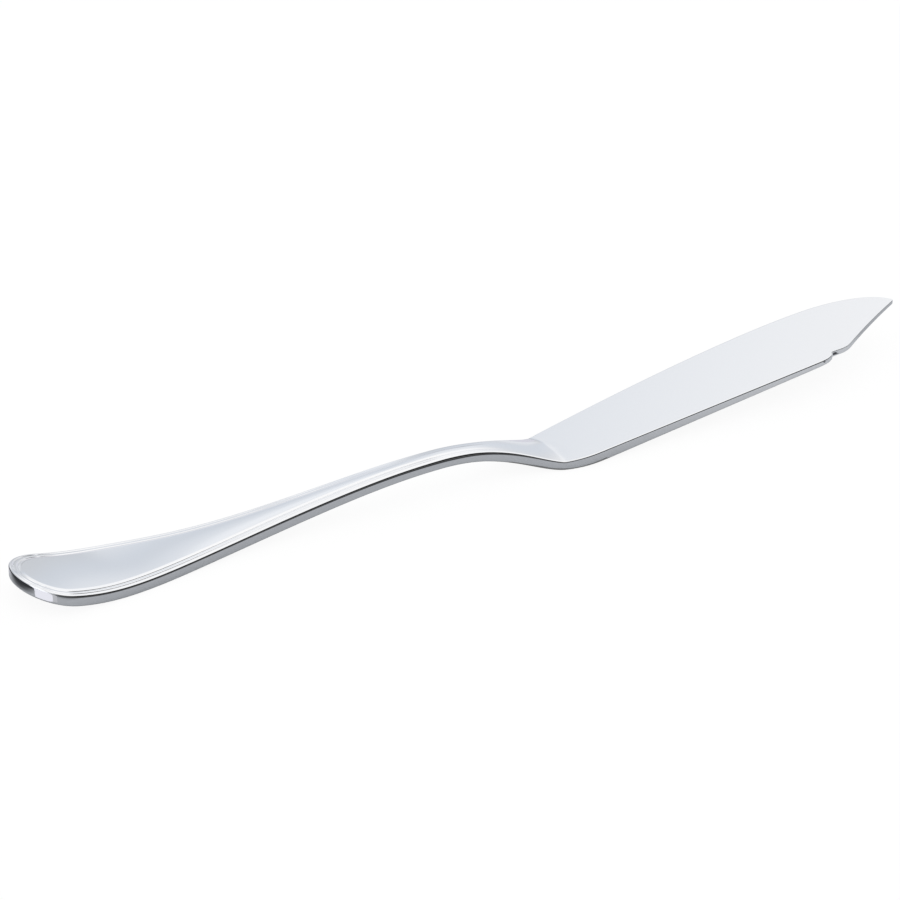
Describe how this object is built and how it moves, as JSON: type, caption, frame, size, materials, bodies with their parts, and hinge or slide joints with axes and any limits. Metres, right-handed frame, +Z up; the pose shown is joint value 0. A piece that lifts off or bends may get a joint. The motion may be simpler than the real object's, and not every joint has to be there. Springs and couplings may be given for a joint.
{
  "type": "fish knife",
  "caption": "Fish knife in one piece of stainless steel, with a threaded border on its arched handle, a cranked neck and a broad notched blade.",
  "frame": {"origin": "on the table, under the middle of the knife's bounding box, as it lies with its decorated face up", "axes": "+X along the knife from the handle's tail to the blade's tip, +Y across it towards the long curved edge, +Z up from the table"},
  "size_m": [0.205, 0.0262, 0.009],
  "materials": {
    "steel": "polished stainless steel"
  },
  "bodies": {
    "root": {"fish_knife": "steel"}
  },
  "joints": []
}
